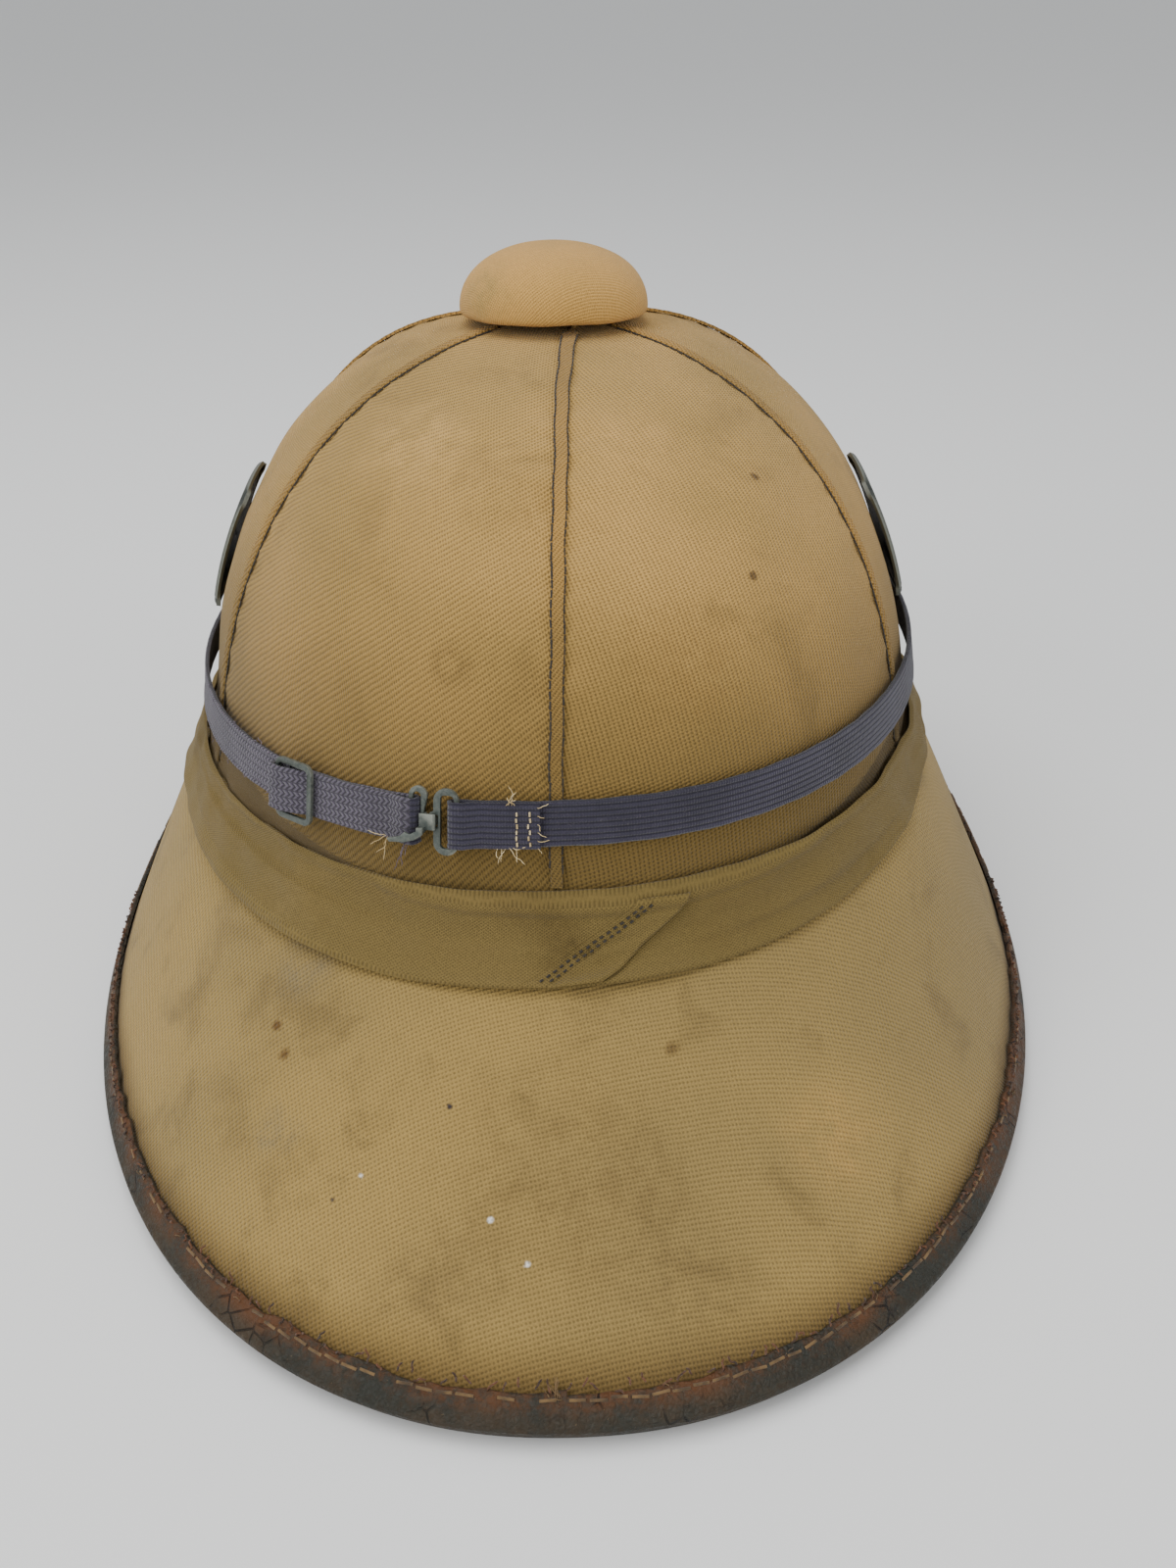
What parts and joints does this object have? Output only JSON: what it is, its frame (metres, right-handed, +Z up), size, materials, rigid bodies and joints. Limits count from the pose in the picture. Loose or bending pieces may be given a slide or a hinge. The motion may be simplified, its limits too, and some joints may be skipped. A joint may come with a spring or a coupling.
{
  "type": "pith helmet",
  "caption": "Tropical pith helmet: six-gore canvas crown over cork, long sloping rear brim, leather edge, vent cap, side plates and an elastic strap with a hook-and-eye clasp.",
  "frame": {"origin": "on the ground under the middle of the helmet's outline", "axes": "+Z up through the vent cap, +Y towards the short front brim, so -Y is the long rear brim, +X to the helmet's own right seen from behind"},
  "size_m": [0.2464, 0.3508, 0.1802],
  "materials": {
    "cork": "matt cork",
    "tan_canvas": "matt cotton twill, stained",
    "puggaree_cloth": "matt plain weave cut on the bias",
    "elastic_webbing": "ribbed elastic webbing",
    "binding_leather": "worn dark leather",
    "grey_painted_metal": "matt field grey paint",
    "worn_hardware": "dull grey-green, worn"
  },
  "bodies": {
    "root": {"brim_cover": "tan_canvas", "clasp_eye": "worn_hardware", "clasp_hook": "worn_hardware", "cork_shell": "cork", "crown_gore_1": "tan_canvas", "crown_gore_2": "tan_canvas", "crown_gore_3": "tan_canvas", "crown_gore_4": "tan_canvas", "crown_gore_5": "tan_canvas", "crown_gore_6": "tan_canvas", "edge_binding": "binding_leather", "goggle_strap": "elastic_webbing", "puggaree_band": "puggaree_cloth", "puggaree_join": "puggaree_cloth", "seam_fold_front": "tan_canvas", "seam_fold_left_front": "tan_canvas", "seam_fold_left_rear": "tan_canvas", "seam_fold_rear": "tan_canvas", "seam_fold_right_front": "tan_canvas", "seam_fold_right_rear": "tan_canvas", "side_plate_left": "grey_painted_metal", "side_plate_right": "grey_painted_metal", "strap_slider": "worn_hardware", "vent_cap": "tan_canvas", "vent_collar": "worn_hardware"}
  },
  "joints": []
}
